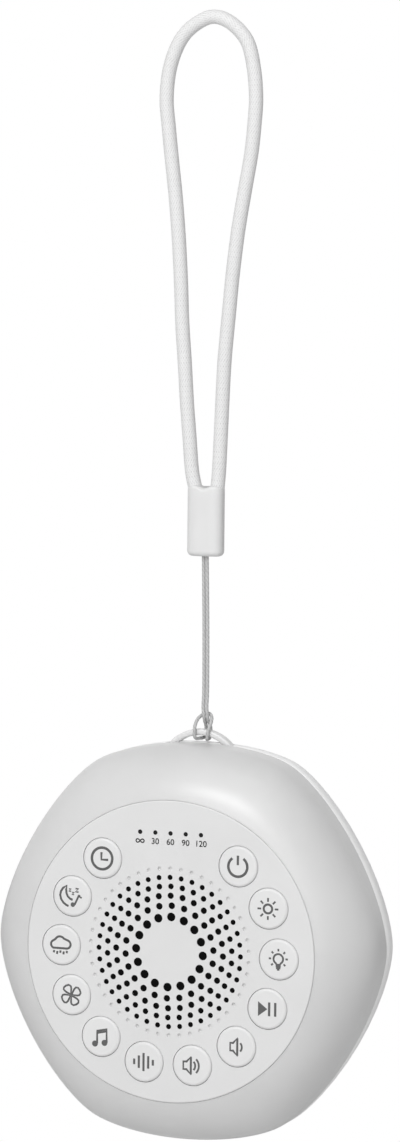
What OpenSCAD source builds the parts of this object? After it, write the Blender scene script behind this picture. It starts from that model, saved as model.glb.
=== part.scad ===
// Portable white noise machine on a wrist strap.
// Front view is the X-Z plane; Y points to the back. The origin is the inner top
// of the strap's loop, where a hook or a finger carries the machine.

/* [Housing] */
// Mean half-width of the six-sided outline
body_r = 52.45; // [50:0.05:56]
// How far the six soft corners stand out from a circle
lobe = 1.0; // [0:0.05:1.2]
// How much narrower than tall the outline is, on each side
squeeze = 0.85; // [0:0.05:1.2]
// How far the outline's middle stands above the panel's middle
lift = 0.4; // [0:0.1:0.6]
// Depth from the panel's face to the back
body_d = 37.5; // [36:0.5:46]
// Depth of the seam between the front shell and the back cover
seam_y = 21.4; // [20:0.1:23]
// Depth at which the front shell's dome reaches the full width
dome_y = 15.5; // [12:0.5:18]
// Slope of the dome where it meets the panel, in degrees
dome_start = 18; // [8:1:25]
// Wall of the front shell and the back cover
wall_t = 2.2; // [1.6:0.1:2.6]
// Radius of the back cover's rear edge
back_round = 13; // [8:0.5:13.5]
// Chamfer on both edges of the seam
seam_chamfer = 0.4; // [0.2:0.05:0.6]
// Depth of the tongue that enters the front shell
tongue_h = 1.6; // [1:0.1:2.5]
// Thickness of the tongue
tongue_t = 1.2; // [0.8:0.1:1.5]

/* [Control panel] */
// Radius of the round panel
panel_r = 39.7; // [38.5:0.1:40.5]
// Thickness of the panel
panel_t = 1.6; // [1.2:0.1:2]
// How far the panel stands proud of the housing's rim
panel_proud = 0.5; // [0.3:0.05:0.8]
// Radius on the panel's front edge
panel_edge = 0.4; // [0.2:0.05:0.6]
// Depth of the face on which the panel's flange seats in the front shell
ledge_y = 2.6; // [2.2:0.1:3]
// Thickness of the panel's flange
flange_t = 1.4; // [1:0.1:1.8]
// How far the flange reaches past the panel's edge
flange_reach = 1.5; // [1:0.1:2]

/* [Grille] */
// Radii of the five rings of holes
grille_r = [9.25, 12.2, 14.8, 17.25, 19.6];
// Hole diameters, from the inner ring to the outer
grille_d = [2.1, 1.6, 1.5, 1.35, 1.2];
// Angle of each ring's first hole, from the top
grille_turn = [-2.6, -2.6, -0.85, -0.85, 0];
// Holes in the innermost ring
grille_first = 16; // [12:1:18]
// Holes that each next ring gains
grille_gain = 6; // [4:1:6]
// Radius of the ring of blind dimples
dimple_r = 21.9; // [21.4:0.1:22.1]
// Diameter of a dimple
dimple_d = 0.9; // [0.6:0.1:1.1]
// Depth of a dimple
dimple_h = 0.3; // [0.2:0.05:0.6]

/* [Buttons] */
// Diameter of a button
button_d = 10.6; // [9:0.1:11.2]
// Radius of the circle that the buttons stand on
button_ring_r = 30.1; // [30.1:0.1:30.6]
// Equal places round the circle, of which the top two are left out
button_places = 14; // [14:1:15]
// How far a button stands proud of the panel
button_proud = 0.45; // [0.2:0.05:0.7]
// Radius on a button's front edge
button_edge = 0.3; // [0.1:0.05:0.4]
// Travel of a button
button_travel = 0.6; // [0.4:0.05:0.8]
// Gap round a button in its hole
button_gap = 0.15; // [0.1:0.01:0.2]
// How far a button's retaining rim reaches past its face
button_rim = 0.7; // [0.4:0.1:0.8]
// Thickness of the retaining rim
button_rim_t = 0.8; // [0.6:0.1:1]

/* [Indicators] */
// Distance from the panel's centre up to the row of indicators
indicator_z = 31.1; // [30.5:0.1:33]
// Spacing of the indicators
indicator_pitch = 4.2; // [3:0.1:4.5]
// Number of indicators
indicator_count = 5; // [3:1:5]
// Diameter of an indicator
indicator_d = 0.95; // [0.8:0.05:1.2]

/* [Speaker] */
// Outer radius of the speaker's frame
speaker_r = 22.5; // [22.3:0.1:22.6]
// Width of the frame's flat flange
speaker_flange = 1.9; // [1.5:0.1:2]
// Depth of the speaker from its flange to the magnet's back
speaker_d = 14.6; // [13:0.1:16]
// Radius of the magnet
magnet_r = 14; // [10:0.5:15]
// Thickness of the foam gasket
gasket_t = 1; // [0.6:0.1:1.2]
// Thickness of the dust cloth behind the grille
cloth_t = 0.2; // [0.1:0.05:0.3]
// Wall of the ring that centres the speaker
well_t = 1; // [0.8:0.1:1]

/* [Electronics] */
// Depth of the main board's front face
board_y = 7.2; // [7:0.1:8]
// Thickness of the boards
board_t = 1.6; // [1:0.1:1.6]
// Radius of the main board
board_r = 40; // [39.5:0.1:40.4]
// Width, height and thickness of a night-light lamp
lamp = [2.8, 3.5, 1.9];
// Width, height and thickness of the charging board
charge_board_size = [18, 15, 1];
// Side of a push switch
switch_w = 6; // [5:0.1:6.2]
// Height of a push switch's case
switch_h = 3.1; // [2.5:0.1:3.3]
// Height of a push switch's plunger above its case
plunger_h = 0.8; // [0.6:0.05:1]
// Battery width, height and thickness
battery = [50, 34, 10];
// Thickness of the battery's foam tape
tape_t = 1; // [0.5:0.1:1.2]
// Width and height of the charging socket
port = [8.94, 3.26];
// Length of the charging socket
port_len = 7.35; // [6.5:0.05:9]
// Depth of the charging socket's middle
port_y = 24.8; // [24.5:0.1:25.2]

/* [Fasteners] */
// How far inside the panel's edge the housing's screws stand
housing_screw_inset = 0.9; // [0.7:0.1:1.1]
// Shank radius of a housing screw
housing_screw_r = 1.25; // [1:0.05:1.3]
// Shank radius of the small screws inside
board_screw_r = 0.9; // [0.7:0.05:1]
// How far inside the panel's edge the main board's screws stand
board_screw_inset = 2.5; // [2.1:0.1:2.7]

/* [Strap] */
// Outer radius of the hanging loop's arch
arch_r = 11.6; // [11:0.1:12.5]
// Thickness of the arch
arch_t = 1.7; // [1.5:0.05:1.9]
// Depth of the arch, from front to back
arch_w = 3; // [2.4:0.1:3]
// Radius on the arch's edges
arch_edge = 0.6; // [0.3:0.05:0.7]
// How far the arch rises above the housing's top
arch_rise = 3.4; // [3.2:0.05:4]
// Depth of the arch's middle
arch_y = 23.2; // [23.1:0.1:23.8]
// Diameter of the wrist cord
cord_d = 3.7; // [3:0.1:3.9]
// Diameter of the thin string
string_d = 0.9; // [0.6:0.05:0.9]
// Width, depth and height of the moulded sleeve
sleeve = [10.3, 5.6, 19];

/* [Hidden] */
$fn = 64;

fit = 0.15;           // gap round a piece that drops into another
seat = 0.05;          // gap between faces that rest on each other
sides = 96;           // points round the housing's outline
over = 1;             // how far a cutter runs past what it cuts

// The outline is given by its support distance h at each normal angle a, so an
// inset of the distance is a true parallel curve.
function out_h(a) = body_r + lobe * cos(6 * a) - squeeze * cos(2 * a) + lift * sin(a);
function out_dh(a) = -6 * lobe * sin(6 * a) + 2 * squeeze * sin(2 * a) + lift * cos(a);

// The panel's opening in the front shell
rim_r = panel_r + fit;
// A ring [y, f, inset]: f = 0 is the panel's circle and f = 1 the full outline
function ring(s) = [for (i = [0:sides - 1])
    let (a = 360 * i / sides,
         h = rim_r + s[1] * (out_h(a) - rim_r) - s[2],
         dh = s[1] * out_dh(a))
    [h * cos(a) - dh * sin(a), s[0], h * sin(a) + dh * cos(a)]];
function flat(lists) = [for (l = lists) for (p = l) p];
// Triangles between ring j and ring k of n points each
function band(j, k, n) = [for (i = [0:n - 1]) let (q = (i + 1) % n)
    each [[j * n + i, k * n + i, k * n + q], [j * n + i, k * n + q, j * n + q]]];

flange_y = ledge_y + seat;
flange_r = panel_r + flange_reach;
flange_back = flange_y + flange_t;
cover_y = seam_y + seat;
cover_in = body_d - wall_t;
boss_end = seam_y - 2.2;
boss_r = 2.4;
post_r = 3.6;
post_y = boss_end + 0.2;
head_r = 2.3;
head_h = 1.6;
head_y = post_y + 1.2;
bore_r = head_r + 0.3;
housing_screw_ring = panel_r - housing_screw_inset;
housing_screw_at = [60, 120, 240, 300];
housing_screw_len = 10;
board_screw_at = [90 - 180 / button_places * 6, 90 + 180 / button_places * 6, 270];
board_screw_ring = panel_r - board_screw_inset;
board_post_r = 1.8;
board_screw_len = 4;
button_y = panel_t + seat;
button_back = button_y + button_rim_t;
plunger_y = board_y - switch_h - plunger_h;
stem_y = plunger_y - button_travel - seat;
well_r = speaker_r + 0.2;
speaker_y = panel_t + cloth_t + gasket_t;
cone_r = speaker_r - speaker_flange;
speaker_frame_t = 0.8;
magnet_h = 5;
magnet_y = speaker_y + speaker_d - magnet_h - 1.4;
battery_y = cover_in - tape_t - battery[2];
arch_top = out_h(90) + arch_rise;
arch_mid = arch_top - arch_t / 2;
foot_drop = 3.45;
foot_top = out_h(90) - foot_drop;
foot_h = 1.8;
foot_x = [8.4, 12.6];
port_mouth = -out_h(270) + 0.3;
charge_board_y = port_y + port[1] / 2;
charge_board_gap = 1.3;
charge_board_z = -out_h(270) + wall_t + charge_board_gap;
charge_post = [charge_board_size[0] / 2 - 2.5, charge_board_z + charge_board_size[1] - 2.5];
led_at = [0, 35, 80, 100, 145, 180, 215, 255, 285, 325];
led_ring = board_r - 2;

// Distance from the strap's top down to the middle of the arch's bar
bar_drop = 185.75;
sleeve_top = -120.2;
sleeve_x = 0.52;

// The wrist cord's route from one end in the sleeve, round the loop, to the other
cord_route = [
    [-2.7, 0, sleeve_top], [-3.5, 0, -116.5], [-4.2, 0, -108.7], [-5.1, 0, -98.5],
    [-5.8, 0, -88.3], [-6.6, 0, -78], [-7.1, 0, -67], [-7.8, 0, -56],
    [-8.8, 0, -45], [-10, 0, -35], [-10.9, 0, -27], [-11.6, 0, -19.3],
    [-10.7, 0, -11.2], [-8, 0, -4.4], [-4.1, 0, -0.3], [1.05, 0, cord_d / 2],
    [6.1, 0, 0.2], [10.5, 0, -4.4], [12.4, 0, -11], [13.2, 0, -18.9],
    [12.8, 0, -26.5], [12, 0, -34], [10.4, 0, -43.2], [8.7, 0, -53.5],
    [7.3, 0, -65], [6.3, 0, -76], [5.3, 0, -87.5], [4.8, 0, -98.5],
    [4.4, 0, -109], [4.1, 0, -116.3], [3.75, 0, sleeve_top]
];
// The string's route, from the arch bar's middle: down from the sleeve, back
// through the bight, round the bar, up into the bight's head, and home again
hitch_route = [
    [0.35, 0, 29], [0.5, 0, 12], [0.45, -0.3, 6.8], [0.7, -0.4, 4.6],
    [0.7, 0.2, 3.1], [0.6, 1.5, 1.9], [0.5, 2.1, 0.8], [0.4, 2.1, -0.7],
    [0.25, 1.9, -1.4], [0, 1.2, -1.7], [-0.5, 0, -1.7], [-0.95, -1.2, -1.7],
    [-1.15, -1.9, -1.35], [-1.25, -2.1, -0.7], [-1.25, -2.1, 0.8], [-1.2, -1.6, 2.2],
    [-0.8, -0.6, 3.6], [-0.1, 0.5, 4.4], [0.7, 1, 4.9], [1.6, 0.95, 4.9],
    [2.4, 0.5, 4.5], [2.95, -0.4, 3.6], [3, -1.5, 2.3], [2.6, -2.1, 0.8],
    [2.35, -2.1, -0.8], [2.2, -1.9, -1.5], [2, -1.2, -1.8], [1.85, 0, -1.8],
    [1.75, 1.2, -1.75], [1.75, 1.9, -1.45], [1.8, 2.1, -0.8], [1.8, 2.1, 0.8],
    [1.75, 1.5, 1.9], [1.7, 0.2, 3.1], [1.7, -0.4, 4.6], [1.45, -0.3, 6.8],
    [1.5, 0, 12], [1.35, 0, 29]
];
sleeve_foot = bar_drop + sleeve_top - sleeve[2];
string_route = [for (p = concat([[0, 0, sleeve_foot]], hitch_route, [[1, 0, sleeve_foot]]))
    p - [0, 0, bar_drop]];

function unit(v) = v / norm(v);
// Direction of a route at point i; both ends stand upright on the sleeve
function heading(r, i) = i == 0 ? [0, 0, sign(r[1][2] - r[0][2])]
    : i == len(r) - 1 ? [0, 0, sign(r[i][2] - r[i - 1][2])]
    : unit(r[i + 1] - r[i - 1]);
function level(n, t) = unit(n - (n * t) * t);
// One side vector for each ring, carried along the route without twist
function carried(r) = [for (i = 0, n = [0, 1, 0]; i < len(r);
    i = i + 1, n = i < len(r) ? level(n, heading(r, i)) : n) n];
// A round cord of diameter d along route r, as one tube of n sides
module tube(r, d, n) {
    across = carried(r);
    rings = [for (i = [0:len(r) - 1])
        let (t = heading(r, i), u = level(across[i], t), v = cross(t, u))
        [for (k = [0:n - 1]) r[i] + d / 2 * (cos(360 * k / n) * u + sin(360 * k / n) * v)]];
    polyhedron(flat(rings), concat(
        [[for (k = [0:n - 1]) k]],
        [for (i = [0:len(r) - 2]) each band(i, i + 1, n)],
        [[for (k = [n - 1:-1:0]) (len(r) - 1) * n + k]]));
}

// Moves a piece from the panel's frame to its place under the strap
module hung() translate([0, -arch_y, -bar_drop - arch_mid]) children();
// Stands a piece on the panel at radius r and angle a, with its Z axis to the back
module at_polar(r, a) translate([r * cos(a), 0, r * sin(a)]) rotate([-90, 0, 0]) children();
module at_place(x, z) translate([x, 0, z]) rotate([-90, 0, 0]) children();
module pin(r, y0, y1) translate([0, 0, y0]) cylinder(r = r, h = y1 - y0);
module disc(profile) rotate([-90, 0, 0]) rotate_extrude() polygon(profile);
function quarter(cx, cy, r, a0, n = 4) = [for (i = [0:n])
    [cx + r * cos(a0 + 90 * i / n), cy + r * sin(a0 + 90 * i / n)]];
function rounded(w, h, r, n = 4) = concat(
    quarter(w / 2 - r, h / 2 - r, r, 0, n), quarter(r - w / 2, h / 2 - r, r, 90, n),
    quarter(r - w / 2, r - h / 2, r, 180, n), quarter(w / 2 - r, r - h / 2, r, 270, n));

// Depth and reach of the dome at angle t, from the rim's slope to the side wall
function dome_depth(t) = panel_proud + (dome_y - panel_proud) * (cos(dome_start) - cos(t)) / cos(dome_start);
function dome_reach(t) = (sin(t) - sin(dome_start)) / (1 - sin(dome_start));

// The lofted front housing: its outer skin, its seam face and its inner skin
module front_shell() {
    steps = 12;
    inner_start = 36;
    inner_steps = 7;
    pocket = -flange_reach - 0.2;
    outer = [for (i = [0:steps]) let (t = dome_start + (90 - dome_start) * i / steps)
        [dome_depth(t), dome_reach(t), i == 0 ? -0.2 : 0]];
    inner = [for (i = [inner_steps:-1:0]) let (t = inner_start + (90 - inner_start) * i / inner_steps)
        [dome_depth(t) + wall_t * cos(t), dome_reach(t), wall_t * sin(t)]];
    stations = concat(
        [[ledge_y, 0, 0], [panel_proud + 0.2, 0, 0]], outer,
        [[seam_y - seam_chamfer, 1, 0], [seam_y, 1, seam_chamfer], [seam_y, 1, wall_t]],
        inner,
        [[flange_back + 0.2, 0, pocket], [ledge_y, 0, pocket]]);
    n = len(stations);
    color("#dadada") hung() polyhedron(flat([for (s = stations) ring(s)]),
        [for (j = [0:n - 1]) each band((j + 1) % n, j, sides)]);
}

// The hanging loop's arch and its two feet, grown by c and running from y0 to y1
module arch(c, y0, y1) {
    span = 75;
    centre = arch_top - arch_r;
    intersection() {
        translate([0, 0, centre]) rotate([-90, 0, 0]) rotate_extrude()
            polygon([for (p = rounded(arch_t + 2 * c, y1 - y0, arch_edge + c, 5))
                p + [arch_r - arch_t / 2, (y0 + y1) / 2]]);
        translate([-arch_r - over, y0 - over, centre + arch_r * cos(span)])
            cube([2 * arch_r + 2 * over, y1 - y0 + 2 * over, arch_r + over]);
    }
    for (s = [-1, 1])
        translate([s * (foot_x[0] + foot_x[1]) / 2, (y0 + y1) / 2, foot_top - foot_h / 2])
            cube([foot_x[1] - foot_x[0] + 2 * c, y1 - y0, foot_h + 2 * c], center = true);
}

module hanging_loop() color("#e4e4e4") hung()
    arch(0, arch_y - arch_w / 2, arch_y + arch_w / 2);

// The cup at the back, with its tongue, screw posts and socket
module back_cover() {
    steps = 6;
    inner_steps = 4;
    rest = seam_y + 2;
    inner = [for (i = [inner_steps:-1:0]) let (b = 90 * i / inner_steps)
        [body_d - back_round + (back_round - wall_t) * sin(b), 1,
         wall_t + (back_round - wall_t) * (1 - cos(b))]];
    outer = [for (i = [0:steps]) let (b = 90 * i / steps)
        [body_d - back_round + back_round * sin(b), 1, back_round * (1 - cos(b))]];
    tongue_in = wall_t + fit + tongue_t;
    stations = concat(inner,
        [[rest + 1, 1, wall_t], [rest, 1, tongue_in], [seam_y - tongue_h, 1, tongue_in],
         [seam_y - tongue_h, 1, wall_t + fit], [cover_y, 1, wall_t + fit],
         [cover_y, 1, seam_chamfer], [cover_y + seam_chamfer, 1, 0]],
        outer);
    n = len(stations);
    color("#dddddd") hung() difference() {
        union() {
            polyhedron(flat([for (s = stations) ring(s)]), concat(
                [[for (k = [sides - 1:-1:0]) k]],
                [for (j = [0:n - 2]) each band(j + 1, j, sides)],
                [[for (k = [0:sides - 1]) (n - 1) * sides + k]]));
            for (a = housing_screw_at)
                at_polar(housing_screw_ring, a) pin(post_r, post_y, cover_in + wall_t / 2);
            for (s = [-1, 1])
                at_place(s * charge_post[0], charge_post[1])
                    pin(2, charge_board_y + charge_board_size[2], cover_in + wall_t / 2);
        }
        for (a = housing_screw_at) at_polar(housing_screw_ring, a) {
            pin(bore_r, head_y, body_d + over);
            pin(housing_screw_r + fit, post_y - over, head_y + over);
        }
        for (s = [-1, 1])
            at_place(s * charge_post[0], charge_post[1])
                pin(board_screw_r + 0.02, charge_board_y, cover_in - 2);
        translate([0, port_y, -out_h(270) - over]) linear_extrude(wall_t + 3)
            polygon(rounded(port[0] + 2 * fit, port[1] + 2 * fit, 1.4));
        arch(fit, seam_y - tongue_h - over, arch_y + arch_w / 2 + fit);
    }
}

// The round control panel with its grille, button holes, speaker well and bosses
module front_panel() color("#e0e0e0") hung() difference() {
    union() {
        disc(concat(
            [[0, 0]],
            [for (p = quarter(panel_r - panel_edge, panel_edge, panel_edge, -90)) p],
            [[panel_r, flange_y], [flange_r, flange_y], [flange_r, flange_back],
             [panel_r - 1.8, flange_back], [panel_r - 1.8, panel_t],
             [well_r + well_t, panel_t], [well_r + well_t, speaker_y + speaker_frame_t],
             [well_r, speaker_y + speaker_frame_t], [well_r, panel_t], [0, panel_t]]));
        for (a = housing_screw_at)
            at_polar(housing_screw_ring, a) pin(boss_r, flange_y, boss_end);
        for (a = board_screw_at)
            at_polar(board_screw_ring, a) pin(board_post_r, panel_t / 2, board_y - seat);
    }
    for (k = [0:len(grille_r) - 1]) let (n = grille_first + grille_gain * k) for (i = [0:n - 1])
        at_polar(grille_r[k], 90 + grille_turn[k] + 360 * i / n)
            pin(grille_d[k] / 2, -over, panel_t + over);
    dimples = grille_first + grille_gain * len(grille_r);
    for (i = [0:dimples - 1])
        at_polar(dimple_r, 90 + 360 * i / dimples) pin(dimple_d / 2, -over, dimple_h);
    for (i = [0:button_places - 3])
        at_button(i) pin(button_d / 2 + button_gap, -over, panel_t + over);
    for (i = [0:indicator_count - 1])
        at_indicator(i) pin(indicator_d / 2 + 0.03, -over, panel_t + over);
    for (a = housing_screw_at)
        at_polar(housing_screw_ring, a)
            pin(housing_screw_r + 0.02, head_y - housing_screw_len - 0.5, boss_end + over);
    for (a = board_screw_at)
        at_polar(board_screw_ring, a)
            pin(board_screw_r + 0.02, board_y - board_screw_len, board_y + over);
}

module at_button(i) at_polar(button_ring_r, 90 + 360 / button_places * (i + 1.5)) children();
module at_indicator(i)
    at_place((i - (indicator_count - 1) / 2) * indicator_pitch, indicator_z) children();

// A round key: its face, its retaining rim behind the panel and its stem
module button(i) color("#e4e4e4") hung() at_button(i) rotate_extrude() polygon(concat(
    [[0, -button_proud]],
    [for (p = quarter(button_d / 2 - button_edge, button_edge - button_proud, button_edge, -90)) p],
    [[button_d / 2, button_y], [button_d / 2 + button_rim, button_y],
     [button_d / 2 + button_rim, button_back], [1.6, button_back],
     [1.6, stem_y], [0, stem_y]]));

module indicator_light_pipe() color("#303030") hung() {
    for (i = [0:indicator_count - 1])
        at_indicator(i) pin(indicator_d / 2, 0.1, board_y - 1.1);
    length = (indicator_count - 1) * indicator_pitch + 3;
    translate([-length / 2, panel_t + seat, indicator_z - 1])
        cube([length, 1.2, 2]);
}

module grille_cloth() color("#1c1c1c") hung() disc(
    [[0, panel_t + 0.01], [speaker_r, panel_t + 0.01],
     [speaker_r, panel_t + cloth_t], [0, panel_t + cloth_t]]);

module speaker_gasket() color("#303030") hung() disc(
    [[cone_r, panel_t + cloth_t], [speaker_r, panel_t + cloth_t],
     [speaker_r, speaker_y], [cone_r, speaker_y]]);

// The pressed steel basket, open between its six arms
module speaker_frame() color("#8a8a8a") hung() difference() {
    t = speaker_frame_t;
    disc([[cone_r - 1, speaker_y], [speaker_r, speaker_y], [speaker_r, speaker_y + t],
        [cone_r, speaker_y + t], [magnet_r + 1, magnet_y], [6, magnet_y],
        [6, magnet_y - t], [magnet_r, magnet_y - t], [cone_r - 1, speaker_y + t]]);
    for (a = [0:60:300]) rotate([0, a, 0])
        translate([magnet_r + 0.5, speaker_y + 2.2, -3]) cube([8, 3, 6]);
}

// The paper cone, its half-roll surround and its dust cap
module speaker_cone() {
    paper = 0.35;
    roll = [[cone_r - 3.8, 0.3], [cone_r - 3.3, -0.3], [cone_r - 2.4, -0.7], [cone_r - 1.5, -0.35],
        [cone_r - 0.05, -0.35]];
    cap = [[0, 2.4], [4, 3], [6.5, 4.4]];
    color("#404040") hung() disc(concat(
        [for (p = concat(cap, roll)) p + [0, speaker_y]],
        [for (i = [4:-1:0]) [roll[i][0], roll[i][1] + speaker_y + paper]],
        [for (i = [2:-1:0]) [cap[i][0], cap[i][1] + speaker_y + paper]]));
}

module speaker_magnet() color("#505050") hung() disc([
    [0, magnet_y], [magnet_r, magnet_y], [magnet_r, magnet_y + magnet_h],
    [magnet_r - 1, magnet_y + magnet_h], [magnet_r - 1, speaker_y + speaker_d],
    [2, speaker_y + speaker_d], [2, magnet_y + magnet_h], [0, magnet_y + magnet_h]]);

module speaker_retainer() color("#303030") hung() disc([
    [cone_r + 0.2, speaker_y + speaker_frame_t], [speaker_r, speaker_y + speaker_frame_t],
    [speaker_r, board_y], [cone_r + 0.2, board_y]]);

module main_board() color("#2f6b46") hung() difference() {
    disc([[cone_r + 0.1, board_y], [board_r, board_y],
        [board_r, board_y + board_t], [cone_r + 0.1, board_y + board_t]]);
    for (a = housing_screw_at)
        at_polar(housing_screw_ring, a) pin(boss_r + 0.4, board_y - over, board_y + board_t + over);
    for (a = board_screw_at)
        at_polar(board_screw_ring, a)
            pin(board_screw_r + fit, board_y - over, board_y + board_t + over);
}

module push_switches() color("#3a3a3a") hung() for (i = [0:button_places - 3]) at_button(i) {
    translate([-switch_w / 2, -switch_w / 2, board_y - switch_h])
        cube([switch_w, switch_w, switch_h]);
    pin(1.75, plunger_y, board_y - switch_h + 0.1);
}

module indicator_leds() color("#f2e8b0") hung() for (i = [0:indicator_count - 1])
    at_indicator(i) translate([-0.8, -0.4, board_y - 0.8]) cube([1.6, 0.8, 0.8]);

module night_light_leds() color("#f2e8b0") hung() for (a = led_at)
    at_polar(led_ring, a) rotate([0, 0, -a])
        translate([-lamp[0] / 2, -lamp[1] / 2, board_y - lamp[2]]) cube(lamp);

module battery_cell() color("#b8bcc2") hung() translate([0, battery_y, 0]) rotate([-90, 0, 0])
    linear_extrude(battery[2]) polygon(rounded(battery[0], battery[1], 2));

module battery_tape() color("#f0f0f0") hung()
    translate([-battery[0] / 2 + 5, cover_in - tape_t, -battery[1] / 2 + 5])
        cube([battery[0] - 10, tape_t, battery[1] - 10]);

module charge_board() color("#2f6b46") hung() difference() {
    translate([-charge_board_size[0] / 2, charge_board_y, charge_board_z])
        cube([charge_board_size[0], charge_board_size[2], charge_board_size[1]]);
    for (s = [-1, 1])
        at_place(s * charge_post[0], charge_post[1])
            pin(board_screw_r + fit, charge_board_y - over, charge_board_y + charge_board_size[2] + over);
}

// The charging socket: a drawn shell round a flat tongue
module charge_port() color("#b0b0b0") hung() translate([0, port_y, port_mouth]) {
    shell_t = 0.3;
    difference() {
        linear_extrude(port_len) polygon(rounded(port[0], port[1], 1.3));
        translate([0, 0, -over]) linear_extrude(port_len - 1 + over)
            polygon(rounded(port[0] - 2 * shell_t, port[1] - 2 * shell_t, 1.1));
    }
    translate([-3.3, -0.35, 0.8]) cube([6.6, 0.7, port_len - 1.2]);
}

// A pan-head screw that points to the front
module screw(r, length, hr, hh) {
    pin(r, -length, 0.1);
    rotate_extrude() polygon([[0, 0], [hr, 0], [hr, hh * 0.6], [hr * 0.8, hh], [0, hh]]);
}

module housing_screws() color("#6a6a6a") hung() for (a = housing_screw_at)
    at_polar(housing_screw_ring, a) translate([0, 0, head_y])
        screw(housing_screw_r, housing_screw_len, head_r, head_h);

module board_screws() color("#6a6a6a") hung() for (a = board_screw_at)
    at_polar(board_screw_ring, a) translate([0, 0, board_y + board_t])
        screw(board_screw_r, board_screw_len, 1.6, 1.1);

module charge_board_screws() color("#6a6a6a") hung() for (s = [-1, 1])
    at_place(s * charge_post[0], charge_post[1]) translate([0, 0, charge_board_y])
        rotate([180, 0, 0]) screw(board_screw_r, board_screw_len, 1.6, 1.1);

module strap_string() color("#b8b8b8") tube(string_route, string_d, 8);

module wrist_cord() color("#eaeaea") tube(cord_route, cord_d, 8);

// The soft moulded sleeve: a rounded block that widens where the cord enters
module strap_sleeve() {
    h = sleeve[2];
    stations = [[0, 1.2], [0.15, 0.75], [0.5, 0.3], [1.2, 0], [h - 3, 0], [h - 0.3, -0.2], [h, -0.1]];
    n = 36;
    rings = [for (s = stations)
        [for (p = rounded(sleeve[0] - 2 * s[1], sleeve[1] - 2 * s[1], 2.6 - s[1], 8))
            [sleeve_x + p[0], p[1], sleeve_top - h + s[0]]]];
    color("#e4e4e4") polyhedron(flat(rings), concat(
        [[for (k = [0:n - 1]) k]],
        [for (j = [0:len(stations) - 2]) each band(j, j + 1, n)],
        [[for (k = [n - 1:-1:0]) (len(stations) - 1) * n + k]]));
}

front_shell();
back_cover();
front_panel();
hanging_loop();
button(0);  // timer_button
button(1);  // lullaby_button
button(2);  // rain_button
button(3);  // fan_button
button(4);  // music_button
button(5);  // white_noise_button
button(6);  // volume_up_button
button(7);  // volume_down_button
button(8);  // play_button
button(9);  // night_light_button
button(10);  // brightness_button
button(11);  // power_button
indicator_light_pipe();
grille_cloth();
speaker_gasket();
speaker_frame();
speaker_cone();
speaker_magnet();
speaker_retainer();
main_board();
push_switches();
indicator_leds();
night_light_leds();
battery_cell();
battery_tape();
charge_board();
charge_port();
housing_screws();
board_screws();
charge_board_screws();
strap_string();
strap_sleeve();
wrist_cord();
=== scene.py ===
# White noise machine on a wrist strap: the looks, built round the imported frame
import bpy
import bmesh
from math import atan2, copysign, cos, floor, pi, radians, sin, sqrt
from mathutils import Matrix, Vector


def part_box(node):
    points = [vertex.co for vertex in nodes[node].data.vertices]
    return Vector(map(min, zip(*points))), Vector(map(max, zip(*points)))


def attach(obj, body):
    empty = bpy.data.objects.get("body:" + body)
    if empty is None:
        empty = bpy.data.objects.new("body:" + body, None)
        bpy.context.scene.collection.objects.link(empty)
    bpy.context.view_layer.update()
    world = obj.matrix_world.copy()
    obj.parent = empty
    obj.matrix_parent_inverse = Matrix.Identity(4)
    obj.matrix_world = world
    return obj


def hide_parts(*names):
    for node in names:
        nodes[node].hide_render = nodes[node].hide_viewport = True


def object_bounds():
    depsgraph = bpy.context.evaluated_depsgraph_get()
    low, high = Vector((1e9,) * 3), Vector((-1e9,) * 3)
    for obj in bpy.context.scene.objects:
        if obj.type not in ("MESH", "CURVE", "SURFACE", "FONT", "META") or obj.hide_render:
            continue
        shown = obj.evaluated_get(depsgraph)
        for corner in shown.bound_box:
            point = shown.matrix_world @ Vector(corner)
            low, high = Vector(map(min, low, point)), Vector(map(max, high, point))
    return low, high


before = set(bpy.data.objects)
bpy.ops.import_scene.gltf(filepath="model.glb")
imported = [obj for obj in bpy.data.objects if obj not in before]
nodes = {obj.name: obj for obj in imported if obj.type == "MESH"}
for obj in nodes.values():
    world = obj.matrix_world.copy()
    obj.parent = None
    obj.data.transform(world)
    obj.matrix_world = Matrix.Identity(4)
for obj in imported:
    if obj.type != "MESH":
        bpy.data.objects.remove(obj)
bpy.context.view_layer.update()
scene = bpy.context.scene

# The panel's middle on its front face; sizes below are millimetres from here
panelLow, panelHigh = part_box("front_panel")
panelAt = Vector(((panelLow.x + panelHigh.x) / 2, panelLow.y, (panelLow.z + panelHigh.z) / 2))
archY = -panelAt.y * 1000  # depth of the arch, the string and the strap behind the panel's face


def spot(x, y, z):
    # a point given in millimetres right of, behind and above the panel's middle
    return panelAt + Vector((x, y, z)) / 1000


def fromTop(x, y, z):
    # a point given in millimetres from the strap's top, which is the row's origin
    return Vector((x, y, z)) / 1000


# The camera stands where the photograph's did, worked out from its rings of holes
cameraSettings = {
    "aim": (-0.94, archY, 97.8),  # what the picture's middle shows
    "distance": 1178.1,           # from there, in millimetres
    "azimuth": 19.74,             # the camera stands this far to the machine's right
    "elevation": 4.4,
    "roll": 0.6,
    "lens": 141.0,
}


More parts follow.
